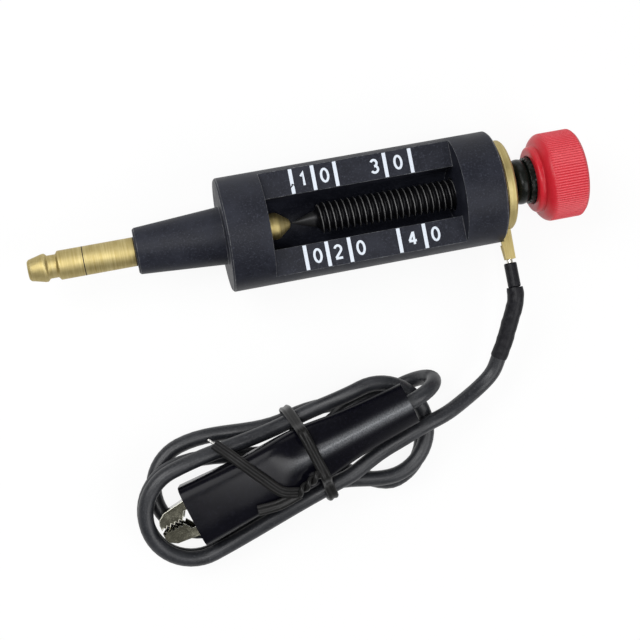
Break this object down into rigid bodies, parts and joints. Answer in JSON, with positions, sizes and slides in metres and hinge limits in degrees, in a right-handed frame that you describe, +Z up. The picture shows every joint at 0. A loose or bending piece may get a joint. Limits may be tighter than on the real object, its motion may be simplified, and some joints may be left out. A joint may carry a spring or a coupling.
{
  "type": "spark plug tester",
  "caption": "Adjustable-gap ignition spark tester: windowed barrel with a plug terminal at one end, a needle screw with a ribbed knob at the other, and an earth lead with a spring clip.",
  "frame": {"origin": "middle of the barrel assembly's length, on the plane that the barrel lies on", "axes": "+X along the barrel towards the knob, +Z up out of the window"},
  "size_m": [0.1248, 0.0836, 0.0254],
  "materials": {
    "barrel_plastic": "fine moulded grain",
    "brass": "brushed and turned",
    "black_steel": "black oxide, bright crests",
    "red_plastic": "gloss, ribbed rim",
    "ring_rubber": "satin",
    "copper": "stranded",
    "sleeve_plastic": "shrunk, satin",
    "lead_jacket": "satin",
    "nickel": "plated, drawn",
    "spring_steel": "drawn wire",
    "boot_vinyl": "soft gloss",
    "tie_plastic": "ribbed strip",
    "tie_wire": "cut end"
  },
  "bodies": {
    "tester": {"barrel": "barrel_plastic", "nose_electrode": "brass", "terminal_nut": "brass", "end_bush": "brass", "ground_lug": "brass", "bare_conductor": "copper", "crimp_sleeve": "sleeve_plastic", "heat_shrink": "sleeve_plastic", "ground_lead": "lead_jacket", "lead_hank": "lead_jacket", "fixed_jaw": "nickel", "jaw_pin": "nickel", "jaw_spring": "spring_steel", "clip_boot": "boot_vinyl", "twist_tie": "tie_plastic", "tie_core": "tie_wire"},
    "ring_carriage": {"o_ring": "ring_rubber"},
    "gap_screw": {"adjusting_screw": "black_steel", "knob": "red_plastic", "rubber_washer": "ring_rubber"},
    "clip_jaw": {"moving_jaw": "nickel"}
  },
  "joints": [
    {"name": "screw_slide", "type": "slide", "parent": "tester", "child": "ring_carriage", "axis": [1, 0, 0], "range_m": [0, 0.03]},
    {"name": "knob_turn", "type": "hinge", "parent": "ring_carriage", "child": "gap_screw", "pos_m": [0.05, 0, 0.0127], "axis": [1, 0, 0], "range_deg": [0, 7560]},
    {"name": "jaw_open", "type": "hinge", "parent": "tester", "child": "clip_jaw", "pos_m": [-0.03247, -0.05794, 0.00965], "axis": [0.125, 0.0375, -0.9914], "range_deg": [0, 20], "stiffness_Nm_per_rad": 0.1, "springref_deg": -34.38, "deforming": ["jaw_spring"]}
  ],
  "couplings": [
    {"joint": "screw_slide", "follows": "knob_turn", "m_per_rad": 0.00022282}
  ]
}
